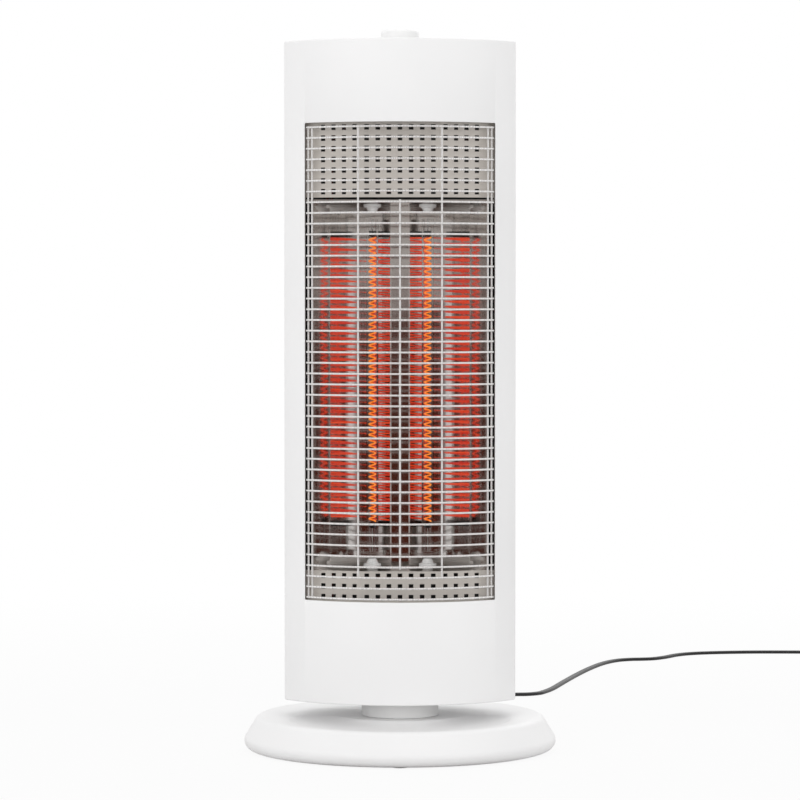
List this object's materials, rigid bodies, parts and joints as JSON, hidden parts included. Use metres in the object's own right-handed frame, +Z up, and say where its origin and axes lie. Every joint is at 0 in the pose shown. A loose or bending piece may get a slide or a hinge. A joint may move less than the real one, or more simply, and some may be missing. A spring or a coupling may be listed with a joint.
{
  "type": "carbon heater",
  "caption": "Upright electric heater: glowing carbon tubes in a mirror trough behind a wire guard, in a white column that swings on a round weighted base",
  "frame": {"origin": "on the floor at the middle of the round base, which is the swivel axis", "axes": "+Z up, -Y out of the heated front, +X to the right seen from the front"},
  "size_m": [0.7145, 1.1057, 0.6448],
  "materials": {
    "white_plastic": "fine matt white",
    "grey_plastic": "matt light grey",
    "knob_plastic": "satin off-white",
    "bearing_plastic": "ivory acetal",
    "dark_plastic": "matt black",
    "red_plastic": "satin red",
    "guard_wire": "bright plated",
    "guard_strip": "plated sheet",
    "vent_sheet": "warm grey plated sheet",
    "mirror_sheet": "polished",
    "zinc_steel": "zinc plated",
    "black_steel": "matt black",
    "ballast_iron": "bare plate",
    "foot_rubber": "soft black",
    "cord_rubber": "soft black sheath",
    "lead_rubber": "red insulation",
    "quartz": "clear tube",
    "ceramic": "fired white ceramic",
    "carbon_glow": "glowing orange carbon",
    "carbon_cold": "unlit carbon",
    "blade_metal": "nickel-plated brass"
  },
  "bodies": {
    "base": {"base_shell": "white_plastic", "base_plate": "black_steel", "ballast_plate": "ballast_iron", "rubber_feet": "foot_rubber", "swivel_post": "zinc_steel", "thrust_washer": "bearing_plastic", "retaining_ring": "zinc_steel", "swing_arm": "zinc_steel", "tip_switch": "dark_plastic", "base_screws": "zinc_steel", "post_screws": "zinc_steel", "cord_gland": "cord_rubber", "inner_lead": "cord_rubber", "cord_free": "cord_rubber", "cord_coil": "cord_rubber", "cord_tie": "dark_plastic", "plug_body": "cord_rubber", "plug_blades": "blade_metal"},
    "tip_plunger": {"tip_plunger": "red_plastic"},
    "heater": {"front_panel": "white_plastic", "rear_cover": "white_plastic", "top_cap": "white_plastic", "bottom_cap": "white_plastic", "swivel_collar": "grey_plastic", "bearing_ring": "bearing_plastic", "collar_screws": "zinc_steel", "rear_screws": "zinc_steel", "guard_wires": "guard_wire", "guard_uprights": "guard_wire", "guard_side_strips": "guard_strip", "upper_vent_plate": "vent_sheet", "lower_vent_plate": "vent_sheet", "reflector": "mirror_sheet", "reflector_top_plate": "mirror_sheet", "reflector_bottom_plate": "mirror_sheet", "heat_shield": "zinc_steel", "quartz_tube_left": "quartz", "quartz_tube_right": "quartz", "filament_left": "carbon_glow", "filament_right": "carbon_glow", "filament_ends": "carbon_cold", "tube_seals": "quartz", "ceramic_caps": "ceramic", "thermal_cutout": "dark_plastic", "terminal_block": "ceramic", "heater_leads": "lead_rubber", "motor_bracket": "zinc_steel", "swing_motor": "zinc_steel", "rotary_switch": "dark_plastic", "switch_nut": "zinc_steel"},
    "knob": {"knob": "knob_plastic", "switch_shaft": "zinc_steel"},
    "crank": {"crank_arm": "bearing_plastic", "motor_shaft": "zinc_steel"}
  },
  "joints": [
    {"name": "body_swing", "type": "hinge", "parent": "base", "child": "heater", "pos_m": [0, 0, 0.045], "axis": [0, 0, 1], "range_deg": [-30, 30]},
    {"name": "crank_turn", "type": "hinge", "parent": "heater", "child": "crank", "pos_m": [0, 0.03, 0.07], "axis": [0, 0, 1], "range_deg": [-90, 90]},
    {"name": "knob_turn", "type": "hinge", "parent": "heater", "child": "knob", "pos_m": [0, 0, 0.64], "axis": [0, 0, 1], "range_deg": [-270, 0]},
    {"name": "plunger_slide", "type": "slide", "parent": "base", "child": "tip_plunger", "axis": [0, 0, -1], "range_m": [0, 0.004], "stiffness_N_per_m": 60, "springref_m": 0.006}
  ],
  "couplings": [
    {"joint": "crank_turn", "follows": "body_swing", "ratio": -3}
  ]
}
